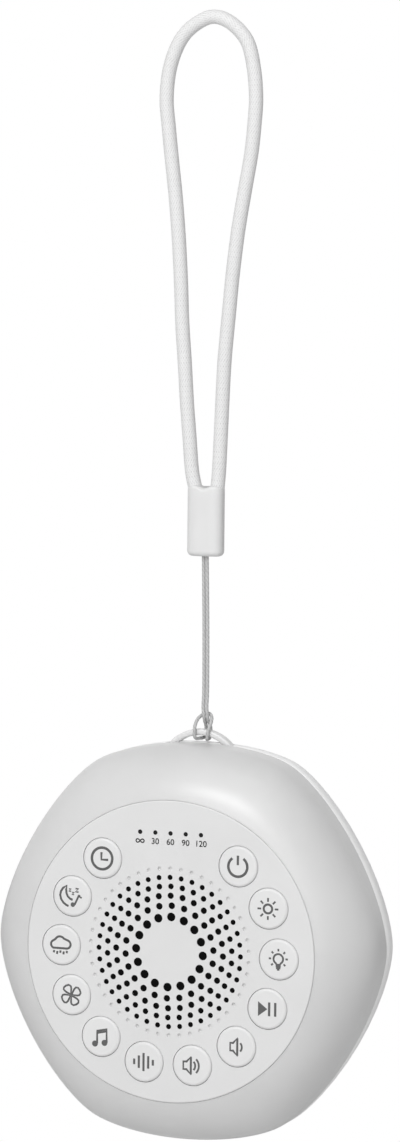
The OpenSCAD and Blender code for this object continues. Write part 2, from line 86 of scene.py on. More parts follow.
def addCamera(settings):
    azimuth, elevation = radians(settings["azimuth"]), radians(settings["elevation"])
    back = Vector((sin(azimuth) * cos(elevation), -cos(azimuth) * cos(elevation), sin(elevation)))
    level = Vector((cos(azimuth), sin(azimuth), 0))
    upright = back.cross(level)
    roll = radians(settings["roll"])
    right = level * cos(roll) + upright * sin(roll)
    up = upright * cos(roll) - level * sin(roll)
    cameraData = bpy.data.cameras.new("camera")
    cameraData.sensor_width = 36
    cameraData.lens = settings["lens"]
    cameraData.clip_start, cameraData.clip_end = 0.05, 20
    camera = bpy.data.objects.new("camera", cameraData)
    scene.collection.objects.link(camera)
    turn = Matrix((right, up, back)).transposed().to_4x4()
    place = spot(*settings["aim"]) + back * settings["distance"] / 1000
    camera.matrix_world = Matrix.Translation(place) @ turn
    scene.camera = camera


addCamera(cameraSettings)
print("camera placed")


def paint(code):
    # an sRGB hex colour as linear red, green, blue and alpha
    parts = [int(code[i:i + 2], 16) / 255 for i in (1, 3, 5)]
    return [p / 12.92 if p <= 0.04045 else ((p + 0.055) / 1.055) ** 2.4 for p in parts] + [1]


def addNode(tree, kind, settings=None, links=None):
    # a new node with its own settings or input values, and what its inputs are linked to
    node = tree.nodes.new(kind)
    for name, value in (settings or {}).items():
        if name in node.inputs:
            node.inputs[name].default_value = value
        else:
            setattr(node, name, value)
    for name, source in (links or {}).items():
        tree.links.new(source, node.inputs[name])
    return node


def startMaterial(name, **settings):
    # settings are the shader's inputs, each with _ where its name has a space
    material = bpy.data.materials.new(name)
    material.use_nodes = True
    shader = material.node_tree.nodes["Principled BSDF"]
    for key, value in settings.items():
        shader.inputs[key.replace("_", " ")].default_value = value
    return material, material.node_tree, shader


# Widths of the fine patterns in millimetres: a moulding's clouds and a plain piece's mottle
patternWidth = {"cloud": 16.667, "mottle": 1.4286}


def mouldedPlastic(name, dark, pale, grain, height, **settings):
    # a colour that clouds by a hair, and the mould's spark-eroded grain, its width and height in
    # millimetres and coarser than the real one, which is too fine to show
    material, tree, shader = startMaterial(name, **settings)
    where = addNode(tree, "ShaderNodeTexCoord").outputs["Object"]
    cloud = addNode(tree, "ShaderNodeTexNoise", {"Scale": 1000 / patternWidth["cloud"], "Detail": 3},
                    {"Vector": where})
    ramp = addNode(tree, "ShaderNodeValToRGB", {}, {"Fac": cloud.outputs["Fac"]})
    low, high = ramp.color_ramp.elements
    low.position, high.position = 0.3, 0.7
    low.color, high.color = paint(dark), paint(pale)
    tree.links.new(ramp.outputs["Color"], shader.inputs["Base Color"])
    spark = addNode(tree, "ShaderNodeTexNoise", {"Scale": 1000 / grain, "Detail": 2}, {"Vector": where})
    bump = addNode(tree, "ShaderNodeBump", {"Strength": 0.35, "Distance": height / 1000},
                   {"Height": spark.outputs["Fac"]})
    tree.links.new(bump.outputs["Normal"], shader.inputs["Normal"])
    return material


def plainMaterial(name, code, **settings):
    # a hidden or tiny piece: its colour with a fine mottle
    material, tree, shader = startMaterial(name, **settings)
    where = addNode(tree, "ShaderNodeTexCoord").outputs["Object"]
    mottle = addNode(tree, "ShaderNodeTexNoise", {"Scale": 1000 / patternWidth["mottle"], "Detail": 2},
                     {"Vector": where})
    ramp = addNode(tree, "ShaderNodeValToRGB", {}, {"Fac": mottle.outputs["Fac"]})
    low, high = ramp.color_ramp.elements
    base = paint(code)
    low.color = [c * 0.85 for c in base[:3]] + [1]
    high.color = [min(1, c * 1.12) for c in base[:3]] + [1]
    tree.links.new(ramp.outputs["Color"], shader.inputs["Base Color"])
    return material


def fibreMaterial(name, dark, pale, paleFrom, fibre, **settings):
    # yarn: painted shade, darker where its height is low and it dives under, with a roughness of fibres,
    # coarser than real so that it shows
    material, tree, shader = startMaterial(name, **settings)
    attribute = addNode(tree, "ShaderNodeAttribute", {"attribute_name": "yarnHeight"})
    ramp = addNode(tree, "ShaderNodeValToRGB", {}, {"Fac": attribute.outputs["Fac"]})
    low, high = ramp.color_ramp.elements
    # painted shade: the dark colour where the yarn lies low between its neighbours, the pale one on its
    # crown
    low.color, high.color = paint(dark), paint(pale)
    high.position = paleFrom
    tree.links.new(ramp.outputs["Color"], shader.inputs["Base Color"])
    where = addNode(tree, "ShaderNodeTexCoord").outputs["Object"]
    threads = addNode(tree, "ShaderNodeTexNoise", {"Scale": 1000 / fibre, "Detail": 3}, {"Vector": where})
    bump = addNode(tree, "ShaderNodeBump", {"Strength": 0.4, "Distance": 0.00003},
                   {"Height": threads.outputs["Fac"]})
    tree.links.new(bump.outputs["Normal"], shader.inputs["Normal"])
    return material


# Milky diffuser moulding: light goes a little way in, so its shading is soft
milkyShell = mouldedPlastic("milkyMouldedShell", "#CACACA", "#CECECE", grain=0.35, height=0.02,
                            Roughness=0.31, IOR=1.47, Subsurface_Weight=0.25, Subsurface_Scale=0.002,
                            Subsurface_Radius=(1.0, 1.0, 1.0))
# Opaque moulded ABS of the panel: satin, a shade paler than the shell
panelPlastic = mouldedPlastic("satinMouldedPanel", "#D0D0D0", "#D3D3D3", grain=0.3, height=0.012,
                              Roughness=0.5, IOR=1.5)
# Moulded ABS of the caps: a finer mould than the panel's, so they are a touch smoother and paler
buttonPlastic = mouldedPlastic("satinMouldedButton", "#D4D4D4", "#D7D7D7", grain=0.3, height=0.008,
                               Roughness=0.45, IOR=1.5)
# Moulded ABS of the back, from a coarse sparked mould: the palest piece, and it hardly shines
coverPlastic = mouldedPlastic("sparkedBackCover", "#EEEEEE", "#F2F2F2", grain=0.35, height=0.03,
                              Roughness=0.5, IOR=1.45)
# Moulded ABS of the arch: smooth enough for a narrow highlight along its bend
loopPlastic = mouldedPlastic("mouldedArch", "#D6D6D6", "#DADADA", grain=0.3, height=0.008,
                             Roughness=0.32, IOR=1.53)
# Soft thermoplastic, moulded: a little light goes in, so its edges look soft
softSleeve = mouldedPlastic("softMouldedSleeve", "#D3D3D3", "#D6D6D6", grain=0.4, height=0.01,
                            Roughness=0.4, IOR=1.5, Subsurface_Weight=0.15, Subsurface_Scale=0.001,
                            Subsurface_Radius=(1.0, 1.0, 1.0))
# Pad-printed inks, thin and dull: grey for the pictograms, nearly black for the small figures
printedInk = plainMaterial("padPrintedInk", "#525252", Roughness=0.6)
labelInk = plainMaterial("padPrintedLabelInk", "#303030", Roughness=0.6)
# Smoked clear plastic, moulded: unlit it looks black, with a weak sheen
smokedPipe = plainMaterial("smokedLightPipe", "#070707", Roughness=0.45, Specular_IOR_Level=0.25)
# Woven speaker cloth: black and dull, so the grille's holes read as dark
speakerCloth = plainMaterial("wovenSpeakerCloth", "#050505", Roughness=0.95, Specular_IOR_Level=0.1)
# Braided polyester: dull and bright, with painted grey shade where the yarns dive
cordFibre = fibreMaterial("braidedPolyesterCord", "#A9A9A9", "#DCDCDC", paleFrom=0.6, fibre=0.25,
                          Roughness=0.75, Sheen_Weight=0.05, Sheen_Roughness=0.5)
# Twisted nylon: greyer than the cord, with a slight gleam on its strands and painted shade where they dive
stringFibre = fibreMaterial("twistedNylonString", "#9A9A9A", "#B6B6B6", paleFrom=0.7, fibre=0.2,
                            Roughness=0.55, Sheen_Weight=0.1, Sheen_Roughness=0.5)
print("materials made")


def finishPiece(bm, name, material, body, replaced=()):
    # makes the mesh a piece that rides on its body and is shown in place of the replaced nodes
    mesh = bpy.data.meshes.new(name)
    bm.to_mesh(mesh)
    bm.free()
    piece = bpy.data.objects.new(name, mesh)
    scene.collection.objects.link(piece)
    mesh.materials.append(material)
    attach(piece, body)
    if replaced:
        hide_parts(*replaced)
    return piece


def shadeSmooth(piece, angle):
    # smooth faces, with edges sharper than the angle kept crisp and flat faces kept flat
    piece.data.shade_smooth()
    piece.data.set_sharp_from_angle(angle=radians(angle))
    weighted = piece.modifiers.new("weightedNormals", "WEIGHTED_NORMAL")
    weighted.keep_sharp = True
    weighted.weight = 100  # the large faces decide


def ringEdges(bm, verts):
    # the edges between neighbours of a closed ring
    return [bm.edges.get((verts[i - 1], verts[i])) for i in range(len(verts))]


def loftRings(bm, rings, joinEnds=False, capStart=False, capEnd=False):
    # extrudes a ring of points through every following ring
    first = bmesh.ops.create_circle(bm, segments=len(rings[0]), radius=1)["verts"]
    for vert, place in zip(first, rings[0]):
        vert.co = place
    current = first
    for ring in rings[1:]:
        made = bmesh.ops.extrude_edge_only(bm, edges=ringEdges(bm, current))["geom"]
        fresh = {g for g in made if isinstance(g, bmesh.types.BMVert)}
        current = [next(edge.other_vert(vert) for edge in vert.link_edges if edge.other_vert(vert) in fresh)
                   for vert in current]
        for vert, place in zip(current, ring):
            vert.co = place
    if joinEnds:
        bmesh.ops.bridge_loops(bm, edges=ringEdges(bm, first) + ringEdges(bm, current))
    if capStart:
        bm.faces.new(first)
    if capEnd:
        bm.faces.new(current)
    bmesh.ops.recalc_face_normals(bm, faces=bm.faces)


housing = {
    "radius": 52.45, "lobe": 1.0, "squeeze": 0.85, "lift": 0.4,  # the six-cornered outline
    "rimRadius": 39.72, "rimDepth": 0.25, "rimEdge": 0.1,        # the opening that the panel drops into
    "domeDepth": 15.5, "domeStart": 18,   # where the dome reaches full width, and its first slope
    "innerStart": 36,                     # the slope that the dome's inside starts with
    "seamDepth": 21.4, "seamRound": 0.4,
    "wall": 2.2, "ledge": 2.6, "pocket": 1.7, "flangeBack": 4.25,
    "points": 240, "domeSteps": 30, "seamSteps": 4,
}


def outlineRing(depth, share, inset):
    # share 0 is the panel's circle and share 1 the full outline, drawn in by inset
    h = housing
    ring = []
    for i in range(h["points"]):
        angle = 2 * pi * i / h["points"]
        full = (h["radius"] + h["lobe"] * cos(6 * angle) - h["squeeze"] * cos(2 * angle)
                + h["lift"] * sin(angle))
        slope = share * (-6 * h["lobe"] * sin(6 * angle) + 2 * h["squeeze"] * sin(2 * angle)
                         + h["lift"] * cos(angle))
        reach = h["rimRadius"] + share * (full - h["rimRadius"]) - inset
        ring.append(spot(reach * cos(angle) - slope * sin(angle), depth,
                         reach * sin(angle) + slope * cos(angle)))
    return ring


def domeDepth(angle):
    # the dome's slope angle runs from its start at the rim to a right angle at full width
    start = radians(housing["domeStart"])
    fall = (cos(start) - cos(angle)) / cos(start)
    return housing["rimDepth"] + (housing["domeDepth"] - housing["rimDepth"]) * fall


def domeShare(angle):
    # how far out from the panel's circle to the full outline the dome has come
    start = sin(radians(housing["domeStart"]))
    return (sin(angle) - start) / (1 - start)


def makeFrontShell():
    # each station gives an outlineRing, from the rim over the dome to the seam and back inside
    h = housing
    stations = [(h["ledge"], 0, 0), (h["rimDepth"] + h["rimEdge"], 0, 0)]
    start = radians(h["domeStart"])
    for i in range(h["domeSteps"] + 1):
        angle = start + (pi / 2 - start) * i / h["domeSteps"]
        stations.append((domeDepth(angle), domeShare(angle), -h["rimEdge"] / 2 if i == 0 else 0))
    for i in range(1, h["seamSteps"] + 1):
        angle = pi / 2 * i / h["seamSteps"]
        stations.append((h["seamDepth"] - h["seamRound"] * (1 - sin(angle)), 1,
                         h["seamRound"] * (1 - cos(angle))))
    stations.append((h["seamDepth"], 1, h["wall"]))
    innerStart = radians(h["innerStart"])
    innerSteps = h["domeSteps"] // 2
    for i in range(innerSteps, -1, -1):
        angle = innerStart + (pi / 2 - innerStart) * i / innerSteps
        stations.append((domeDepth(angle) + h["wall"] * cos(angle), domeShare(angle),
                         h["wall"] * sin(angle)))
    stations += [(h["flangeBack"], 0, -h["pocket"]), (h["ledge"], 0, -h["pocket"])]
    bm = bmesh.new()
    loftRings(bm, [outlineRing(*s) for s in stations], joinEnds=True)
    shell = finishPiece(bm, "front_shell_skin", milkyShell, "housing", ["front_shell"])
    shadeSmooth(shell, 40)


def squareFlats(piece, angle):
    # flat faces square to the depth are thin triangles between many holes, so their normals are given
    mesh = piece.data
    mesh.shade_smooth()
    mesh.set_sharp_from_angle(angle=radians(angle))
    normals = [Vector()] * len(mesh.loops)
    for face in mesh.polygons:
        depths = [mesh.vertices[v].co.y for v in face.vertices]
        if max(depths) - min(depths) < 2e-6:  # two thousandths of a millimetre
            for loop in face.loop_indices:
                normals[loop] = Vector((0, 1 if face.normal.y > 0 else -1, 0))
    mesh.normals_split_custom_set(normals)


def mergedMesh(node):
    # the solid's own mesh, joined up
    bm = bmesh.new()
    bm.from_mesh(nodes[node].data)
    bmesh.ops.remove_doubles(bm, verts=bm.verts, dist=1e-6)
    return bm


def makeBackCover():
    piece = finishPiece(mergedMesh("back_cover"), "back_cover_skin", coverPlastic, "housing",
                        ["back_cover"])
    squareFlats(piece, 32)


def spinProfile(profile, centre, steps):
    # turns a profile of (radius, depth) in millimetres about the line that runs front to back
    bm = bmesh.new()
    verts = [bm.verts.new(centre + Vector((r, y, 0)) / 1000) for r, y in profile]
    edges = [bm.edges.new(pair) for pair in zip(verts, verts[1:])]
    bmesh.ops.spin(bm, geom=verts + edges, cent=centre, axis=(0, 1, 0), angle=2 * pi, steps=steps,
                   use_merge=True)
    bmesh.ops.remove_doubles(bm, verts=bm.verts, dist=1e-7)
    bmesh.ops.recalc_face_normals(bm, faces=bm.faces)
    return bm


panel = {
    "thick": 1.6, "web": 0.2, "webRadius": 20.4,  # the grille is a thin web in the panel
    "dimple": 0.3, "dimpleDeep": 0.7,  # the blind ring's depth in the solid, and as looked into
    "blindRadius": 22.8,
    "widen": 0.1, "lampWiden": 0.1,    # the rounded mouths of the grille's and the indicator holes
    # rings of holes, the last one blind: radius, first angle, count
    "rings": [(9.25, 87.4, 16), (12.2, 87.4, 22), (14.8, 89.15, 28), (17.25, 89.15, 34), (19.6, 90, 40),
              (21.9, 90, 46)],
}
indicator = {
    "height": 31.1, "pitch": 4.2,           # the row of five over the grille
    "halfWide": 10, "halfTall": 1,          # what the row's holes lie within
    "labelHeight": 28.75, "digit": 2.2, "digitSwell": 0.03,
    "digitThick": 0.00003,                  # nearly flat, unlike the other prints
    "loopWide": 1.12, "loopTall": 1.25, "loopStroke": 0.3,  # the endless sign
}
nearly = 0.01  # millimetres of slack when points are picked by their depth


def holeCentre(x, z):
    # the middle of the grille hole nearest to a point, both from the panel's middle
    radius, first, count = min(panel["rings"], key=lambda ring: abs(sqrt(x * x + z * z) - ring[0]))
    step = 2 * pi / count
    turns = round((atan2(z, x) - radians(first)) / step)
    angle = radians(first) + turns * step
    return radius * cos(angle), radius * sin(angle)


def fromLamp(x, z):
    # the direction away from the nearest indicator's middle
    lampX = round(x / indicator["pitch"]) * indicator["pitch"]
    return Vector((x - lampX, 0, z - indicator["height"])).normalized()


def makePanel():
    # the solid's grille gets a thin web, and all its small holes rounded mouths
    p = panel
    bm = mergedMesh("front_panel")
    for vert in bm.verts:
        x, y, z = (vert.co - panelAt) * 1000
        reach = sqrt(x * x + z * z)
        web = reach < p["webRadius"] and y < p["thick"] + nearly
        blind = p["webRadius"] < reach < p["blindRadius"] and y < p["dimple"] + nearly
        if web or blind:
            holeX, holeZ = holeCentre(x, z)
            vert.co += Vector((x - holeX, 0, z - holeZ)).normalized() * p["widen"] / 1000
            if web and y > p["thick"] - nearly:
                vert.co.y = panelAt.y + p["web"] / 1000
            if blind and y > p["dimple"] - nearly:
                vert.co.y = panelAt.y + p["dimpleDeep"] / 1000
        elif (y < p["thick"] + nearly and abs(z - indicator["height"]) < indicator["halfTall"]
              and abs(x) < indicator["halfWide"]):
            vert.co += fromLamp(x, z) * p["lampWiden"] / 1000
    piece = finishPiece(bm, "front_panel_skin", panelPlastic, "housing", ["front_panel"])
    squareFlats(piece, 32)


cloth = {
    "radius": 22.5, "thick": 0.18,   # as wide as the speaker
    "webGap": 0.04, "rimGap": 0.02,  # what keeps it off the web and off the panel's back
    "rim": 1.2, "tuck": 0.1,         # its flat rim, and how far its bends are set in
    "steps": 64,
}


def makeCloth():
    # the speaker cloth, pressed forward against the back of the grille inside its flat rim
    c = cloth
    front, back = panel["web"] + c["webGap"], panel["thick"] + c["rimGap"]
    inner, outer = panel["webRadius"] - c["tuck"], c["radius"] - c["rim"]
    profile = [(0, front), (inner, front), (outer, back), (c["radius"], back),
               (c["radius"], back + c["thick"]), (outer - c["tuck"], back + c["thick"]),
               (inner - c["tuck"], front + c["thick"]), (0, front + c["thick"])]
    piece = finishPiece(spinProfile(profile, panelAt, c["steps"]), "grille_cloth_sheet", speakerCloth,
                        "housing", ["grille_cloth"])
    shadeSmooth(piece, 40)


def makeLightPipe():
    # the pins are drawn out with their holes, and the bar behind the panel stays
    bm = mergedMesh("indicator_light_pipe")
    for vert in bm.verts:
        x, y, z = (vert.co - panelAt) * 1000
        if y < panel["thick"] - 0.1:  # in front of the bar
            vert.co += fromLamp(x, z) * panel["lampWiden"] / 1000
    piece = finishPiece(bm, "indicator_light_pipe_skin", smokedPipe, "housing",
                        ["indicator_light_pipe"])
    squareFlats(piece, 32)


makeFrontShell()
makeBackCover()
makePanel()
makeCloth()
makeLightPipe()
print("housing made")

arch = {
    "outer": 11.6, "thick": 1.7, "wide": 3.0, "edge": 0.6,  # its radius, and its rounded section
    "top": 56.1, "reach": 75, "steps": 48,                  # degrees to either side of the top
    "footLow": 47.45, "footHigh": 49.25, "footIn": 8.4, "footOut": 12.6,
}


def makeArch():
    # a rounded bar bent over the top, on two feet that the seam traps
    a = arch
    bm = bmesh.new()
    middle = a["outer"] - a["thick"] / 2
    centre = spot(0, archY, a["top"] - a["outer"])
    bmesh.ops.create_grid(bm, x_segments=1, y_segments=1, size=0.5)
    bmesh.ops.scale(bm, vec=(a["thick"] / 1000, a["wide"] / 1000, 1), verts=bm.verts)
    bmesh.ops.bevel(bm, geom=bm.verts[:], offset=a["edge"] / 1000, segments=5, profile=0.5,
                    affect="VERTICES", material=-1)
    bmesh.ops.translate(bm, vec=centre + Vector((middle / 1000, 0, 0)), verts=bm.verts)
    turned = Matrix.Rotation(radians(a["reach"] - 90), 3, "Y")
    bmesh.ops.rotate(bm, cent=centre, matrix=turned, verts=bm.verts)
    bmesh.ops.spin(bm, geom=bm.verts[:] + bm.edges[:] + bm.faces[:], cent=centre, axis=(0, 1, 0),
                   angle=-radians(2 * a["reach"]), steps=a["steps"], use_merge=False)
    for side in (-1, 1):
        foot = bmesh.ops.create_cube(bm, size=1)["verts"]
        bmesh.ops.scale(bm, vec=((a["footOut"] - a["footIn"]) / 1000, a["wide"] / 1000,
                                 (a["footHigh"] - a["footLow"]) / 1000), verts=foot)
        bmesh.ops.translate(bm, vec=spot(side * (a["footIn"] + a["footOut"]) / 2, archY,
                                         (a["footLow"] + a["footHigh"]) / 2), verts=foot)
    bmesh.ops.recalc_face_normals(bm, faces=bm.faces)
    loop = finishPiece(bm, "hanging_arch", loopPlastic, "housing", ["hanging_loop"])
    shadeSmooth(loop, 50)


makeArch()
print("arch made")

# The wrist cord's way round, from the sleeve up one side and down the other
cordRoute = [
    (-2.5, 0, -121.4), (-3.5, 0, -116.5), (-4.2, 0, -108.7), (-5.1, 0, -98.5),
    (-5.8, 0, -88.3), (-6.6, 0, -78), (-7.1, 0, -67), (-7.8, 0, -56),
    (-8.8, 0, -45), (-10, 0, -35), (-10.9, 0, -27), (-11.6, 0, -19.3),
    (-10.7, 0, -11.2), (-8, 0, -4.4), (-4.1, 0, -0.3), (1.05, 0, 1.85),
    (6.1, 0, 0.2), (10.5, 0, -4.4), (12.4, 0, -11), (13.2, 0, -18.9),
    (12.8, 0, -26.5), (12, 0, -34), (10.4, 0, -43.2), (8.7, 0, -53.5),
    (7.3, 0, -65), (6.3, 0, -76), (5.3, 0, -87.5), (4.8, 0, -98.5),
    (4.4, 0, -109), (4.1, 0, -116.3), (3.7, 0, -121.4),
]
sleeve = {
    "wide": 9.8, "deep": 5.6, "high": 19.0, "fullness": 2.9, "middle": 0.6, "top": -120.2,
    "edge": 1.4, "shoulder": 0.8, "points": 72, "steps": 10,
    "mouthDrop": 1.0, "mouthSwell": 0.75, "swellReach": 2.6, "strandAt": 3.1,  # round each strand
    "mouthRound": 0.9, "mouthEdge": 1.12, "mouthInsets": (1.4, 2.0, 2.5),
}
barDrop = -panelAt.z * 1000 - arch["top"] + arch["thick"] / 2  # from the strap's top to the arch's bar
sleeveFoot = barDrop + sleeve["top"] - sleeve["high"]  # the sleeve's lower end above the bar
# The string's way round the bar and back: right of, behind and above the bar's middle
hitchRoute = [
    (0, 0, sleeveFoot),
    (0.35, 0, 29), (0.5, 0, 12), (0.45, -0.3, 6.8), (0.7, -0.4, 4.6),
    (0.7, 0.2, 3.1), (0.6, 1.5, 1.9), (0.5, 2.1, 0.8), (0.4, 2.1, -0.7),
    (0.25, 1.9, -1.4), (0, 1.2, -1.7), (-0.5, 0, -1.7), (-0.95, -1.2, -1.7),
    (-1.15, -1.9, -1.35), (-1.25, -2.1, -0.7), (-1.25, -2.1, 0.8), (-1.2, -1.6, 2.2),
    (-0.8, -0.6, 3.6), (-0.1, 0.5, 4.4), (0.7, 1, 4.9), (1.6, 0.95, 4.9),
    (2.4, 0.5, 4.5), (2.95, -0.4, 3.6), (3, -1.5, 2.3), (2.6, -2.1, 0.8),
    (2.35, -2.1, -0.8), (2.2, -1.9, -1.5), (2, -1.2, -1.8), (1.85, 0, -1.8),
    (1.75, 1.2, -1.75), (1.75, 1.9, -1.45), (1.8, 2.1, -0.8), (1.8, 2.1, 0.8),
    (1.75, 1.5, 1.9), (1.7, 0.2, 3.1), (1.7, -0.4, 4.6), (1.45, -0.3, 6.8),
    (1.5, 0, 12), (1.35, 0, 29),
    (1, 0, sleeveFoot),
]


def smoothRoute(points, step):
    # a Catmull-Rom curve through the points, sampled about every step metres
    ends = [points[0] * 2 - points[1], *points, points[-1] * 2 - points[-2]]
    route = []
    for i in range(1, len(ends) - 2):
        before, here, there, after = ends[i - 1:i + 3]
        count = max(2, round((there - here).length / step))
        for k in range(count):
            t = k / count
            route.append(0.5 * (2 * here + (there - before) * t
                                + (2 * before - 5 * here + 4 * there - after) * t * t
                                + (3 * here - before - 3 * there + after) * t * t * t))
    return route + [points[-1]]


def routeLength(route):
    return sum((b - a).length for a, b in zip(route, route[1:]))


def wrapTube(route, radius, around, step, relief):
    # wraps a grid round the route; relief(angle, along) gives the yarn's height from 0 to 1
    stretches = [0]
    for a, b in zip(route, route[1:]):
        stretches.append(stretches[-1] + (b - a).length)
    total = stretches[-1]
    rows = max(2, round(total / step))
    side = Vector((0, 1, 0))
    rings = []
    k = 0
    for row in range(rows + 1):
        along = total * row / rows
        while k < len(route) - 2 and stretches[k + 1] < along:
            k += 1
        heading = (route[k + 1] - route[k]).normalized()
        blend = (along - stretches[k]) / (stretches[k + 1] - stretches[k])
        if k + 2 < len(route):
            ahead = (route[k + 2] - route[k + 1]).normalized()
            behind = (route[k] - route[max(k - 1, 0)]).normalized() if k else heading
            heading = (behind * (1 - blend) + heading + ahead * blend).normalized()
        side = (side - heading * side.dot(heading)).normalized()
        rings.append((route[k].lerp(route[k + 1], blend), side.copy(), heading.cross(side), along))
    bm = bmesh.new()
    height = bm.verts.layers.float.new("yarnHeight")
    bmesh.ops.create_grid(bm, x_segments=around, y_segments=rows, size=1)
    for vert in bm.verts:
        angle = pi * (vert.co.x + 1)
        centre, side, up, along = rings[round((vert.co.y + 1) / 2 * rows)]
        lift, shown = relief(angle, along)
        # the material paints shade where this height is low
        vert[height] = shown
        vert.co = centre + (side * cos(angle) + up * sin(angle)) * (radius + lift)
    bmesh.ops.remove_doubles(bm, verts=bm.verts, dist=1e-7)
    openEdges = [e for e in bm.edges if e.is_boundary]
    bmesh.ops.holes_fill(bm, edges=openEdges, sides=0)
    bmesh.ops.recalc_face_normals(bm, faces=bm.faces)
    return bm


# Yarns round the cord or string, what each takes of its length, and how far they stand out
cordSettings = {"diameter": 3.7, "carriers": 16, "pitch": 1.25, "relief": 0.13,
                "around": 80, "step": 0.3, "sample": 0.6}
stringSettings = {"diameter": 0.9, "strands": 3, "pitch": 1.3, "relief": 0.035,
                  "around": 18, "step": 0.2, "sample": 0.6}


def braidRelief(angle, along):
    # two families of yarns that cross, each over the other in turn
    c = cordSettings
    one = c["carriers"] / 2 * angle / pi + along * 1000 / c["pitch"]
    two = c["carriers"] / 2 * angle / pi - along * 1000 / c["pitch"]
    i, j = floor(one), floor(two)
    across, lengthwise = (one - i, two - j) if (i + j) % 2 == 0 else (two - j, one - i)
    # a yarn is round across and a little lower at its ends, and dives under the cord's mean surface
    crown = sin(pi * across) ** 0.6 * (0.6 + 0.4 * sin(pi * lengthwise))
    return c["relief"] / 1000 * (crown - 0.7), crown


def twistRelief(angle, along):
    # a few strands laid round each other
    s = stringSettings
    crown = abs(cos(s["strands"] / 2 * angle + pi * along * 1000 / s["pitch"]))
    return s["relief"] / 1000 * (crown - 0.6), crown


def makeCord(name, points, settings, relief, material, node):
    route = smoothRoute(points, settings["sample"] / 1000)
    bm = wrapTube(route, settings["diameter"] / 2000, settings["around"], settings["step"] / 1000, relief)
    piece = finishPiece(bm, name, material, "housing", [node])
    piece.data.shade_smooth()
    return piece, route


wristCord, wristRoute = makeCord("wrist_cord_braid", [fromTop(*p) for p in cordRoute], cordSettings,
                                 braidRelief, cordFibre, "wrist_cord")
hitchPoints = [fromTop(x, y, z - barDrop) for x, y, z in hitchRoute]
stringPiece, stringRoute = makeCord("strap_string_twist", hitchPoints, stringSettings, twistRelief,
                                    stringFibre, "strap_string")


def sleeveRing(inset):
    # the sleeve's outline between an ellipse and a box, drawn in by inset
    s = sleeve
    ring = []
    for i in range(s["points"]):
        angle = 2 * pi * (i + 0.5) / s["points"]
        across = copysign(abs(cos(angle)) ** (2 / s["fullness"]), cos(angle))
        deep = copysign(abs(sin(angle)) ** (2 / s["fullness"]), sin(angle))
        ring.append((s["middle"] + (s["wide"] / 2 - inset) * across, (s["deep"] / 2 - inset) * deep))
    return ring


def sleeveTop(x):
    # the top edge swells round each strand and dips between them
    s = sleeve
    nearest = min(abs(x - s["middle"] - s["strandAt"]), abs(x - s["middle"] + s["strandAt"]))
    return s["mouthSwell"] * cos(min(nearest / s["swellReach"], 1) * pi / 2) - s["mouthDrop"]


def makeSleeve():
    s = sleeve
    rings = []
    bottom = s["top"] - s["high"]
    quarter = [pi / 2 * i / 6 for i in range(7)]
    for angle in quarter:
        height = bottom + s["edge"] * (1 - cos(angle))
        rings.append([fromTop(x, y, height) for x, y in sleeveRing(s["edge"] * (1 - sin(angle)))])
    straight = s["high"] - s["edge"] - s["shoulder"]
    for i in range(1, s["steps"]):
        height = bottom + s["edge"] + straight * i / s["steps"]
        rings.append([fromTop(x, y, height) for x, y in sleeveRing(0)])
    for angle in quarter:
        height = s["top"] - s["mouthRound"] * (1 - sin(angle))
        rings.append([fromTop(x, y, height + sleeveTop(x))
                      for x, y in sleeveRing(s["mouthEdge"] * (1 - cos(angle)))])
    for inset in s["mouthInsets"]:
        rings.append([fromTop(x, y, s["top"] + sleeveTop(x)) for x, y in sleeveRing(inset)])
    bm = bmesh.new()
    loftRings(bm, rings, capStart=True, capEnd=True)
    piece = finishPiece(bm, "strap_sleeve_moulding", softSleeve, "housing", ["strap_sleeve"])
    shadeSmooth(piece, 60)


makeSleeve()
print("strap made, cord", round(routeLength(wristRoute) * 1000), "mm, string",
      round(routeLength(stringRoute) * 1000), "mm")

buttonRing = {
    "radius": 30.1, "places": 14,                      # two places at the top stay free
    "proud": 0.45, "face": 5.36, "edge": 0.8,          # the cap
    "rim": 6.0, "rimFront": 1.65, "rimBack": 2.45,     # what the panel holds it by
    "stem": 1.6, "stemEnd": 2.65, "steps": 96,         # what presses the switch
}
buttonNames = ["timer", "lullaby", "rain", "fan", "music", "white_noise", "volume_up", "volume_down",
               "play", "night_light", "brightness", "power"]


def arcPoints(cx, cz, radius, start, end, steps):
    # points round a centre from one angle in degrees to another
    angles = [radians(start + (end - start) * i / steps) for i in range(steps + 1)]
    return [(cx + radius * cos(a), cz + radius * sin(a)) for a in angles]


def blade(angle):
    # one broad blade of the fan
    outline = [(0.25, -0.1), (1.2, -1.2), (1.75, -1.55), (2.4, -1.35), (2.75, -0.6), (2.8, 0.15),
               (2.4, 0.6), (1.7, 0.55), (0.95, 0.3)]
    a = radians(angle)
    return [(x * cos(a) - z * sin(a), x * sin(a) + z * cos(a)) for x, z in outline]


def bar(x, z, endX, endZ, width):
    # one straight stroke
    return [(x, z), (endX, endZ)], False, width


def horn(left, neck, right):
    # a loudspeaker from the side, with a stronger right edge
    outline = [(left, 1.0), (left, -1.0), (neck, -1.0), (right, -2.3), (right, 2.3), (neck, 1.0)]
    return [(outline, True, 0.52), bar(right, -2.3, right, 2.3, 0.5)]


def letterZ(x, z, size):
    # one zigzag stroke about its middle
    half = size / 2
    return [(x - half, z + half), (x + half, z + half), (x - half, z - half), (x + half, z - half)]


def ray(angle, near, far, cz=0):
    # a short line outwards from the middle
    a = radians(angle)
    return [(near * cos(a), cz + near * sin(a)), (far * cos(a), cz + far * sin(a))]


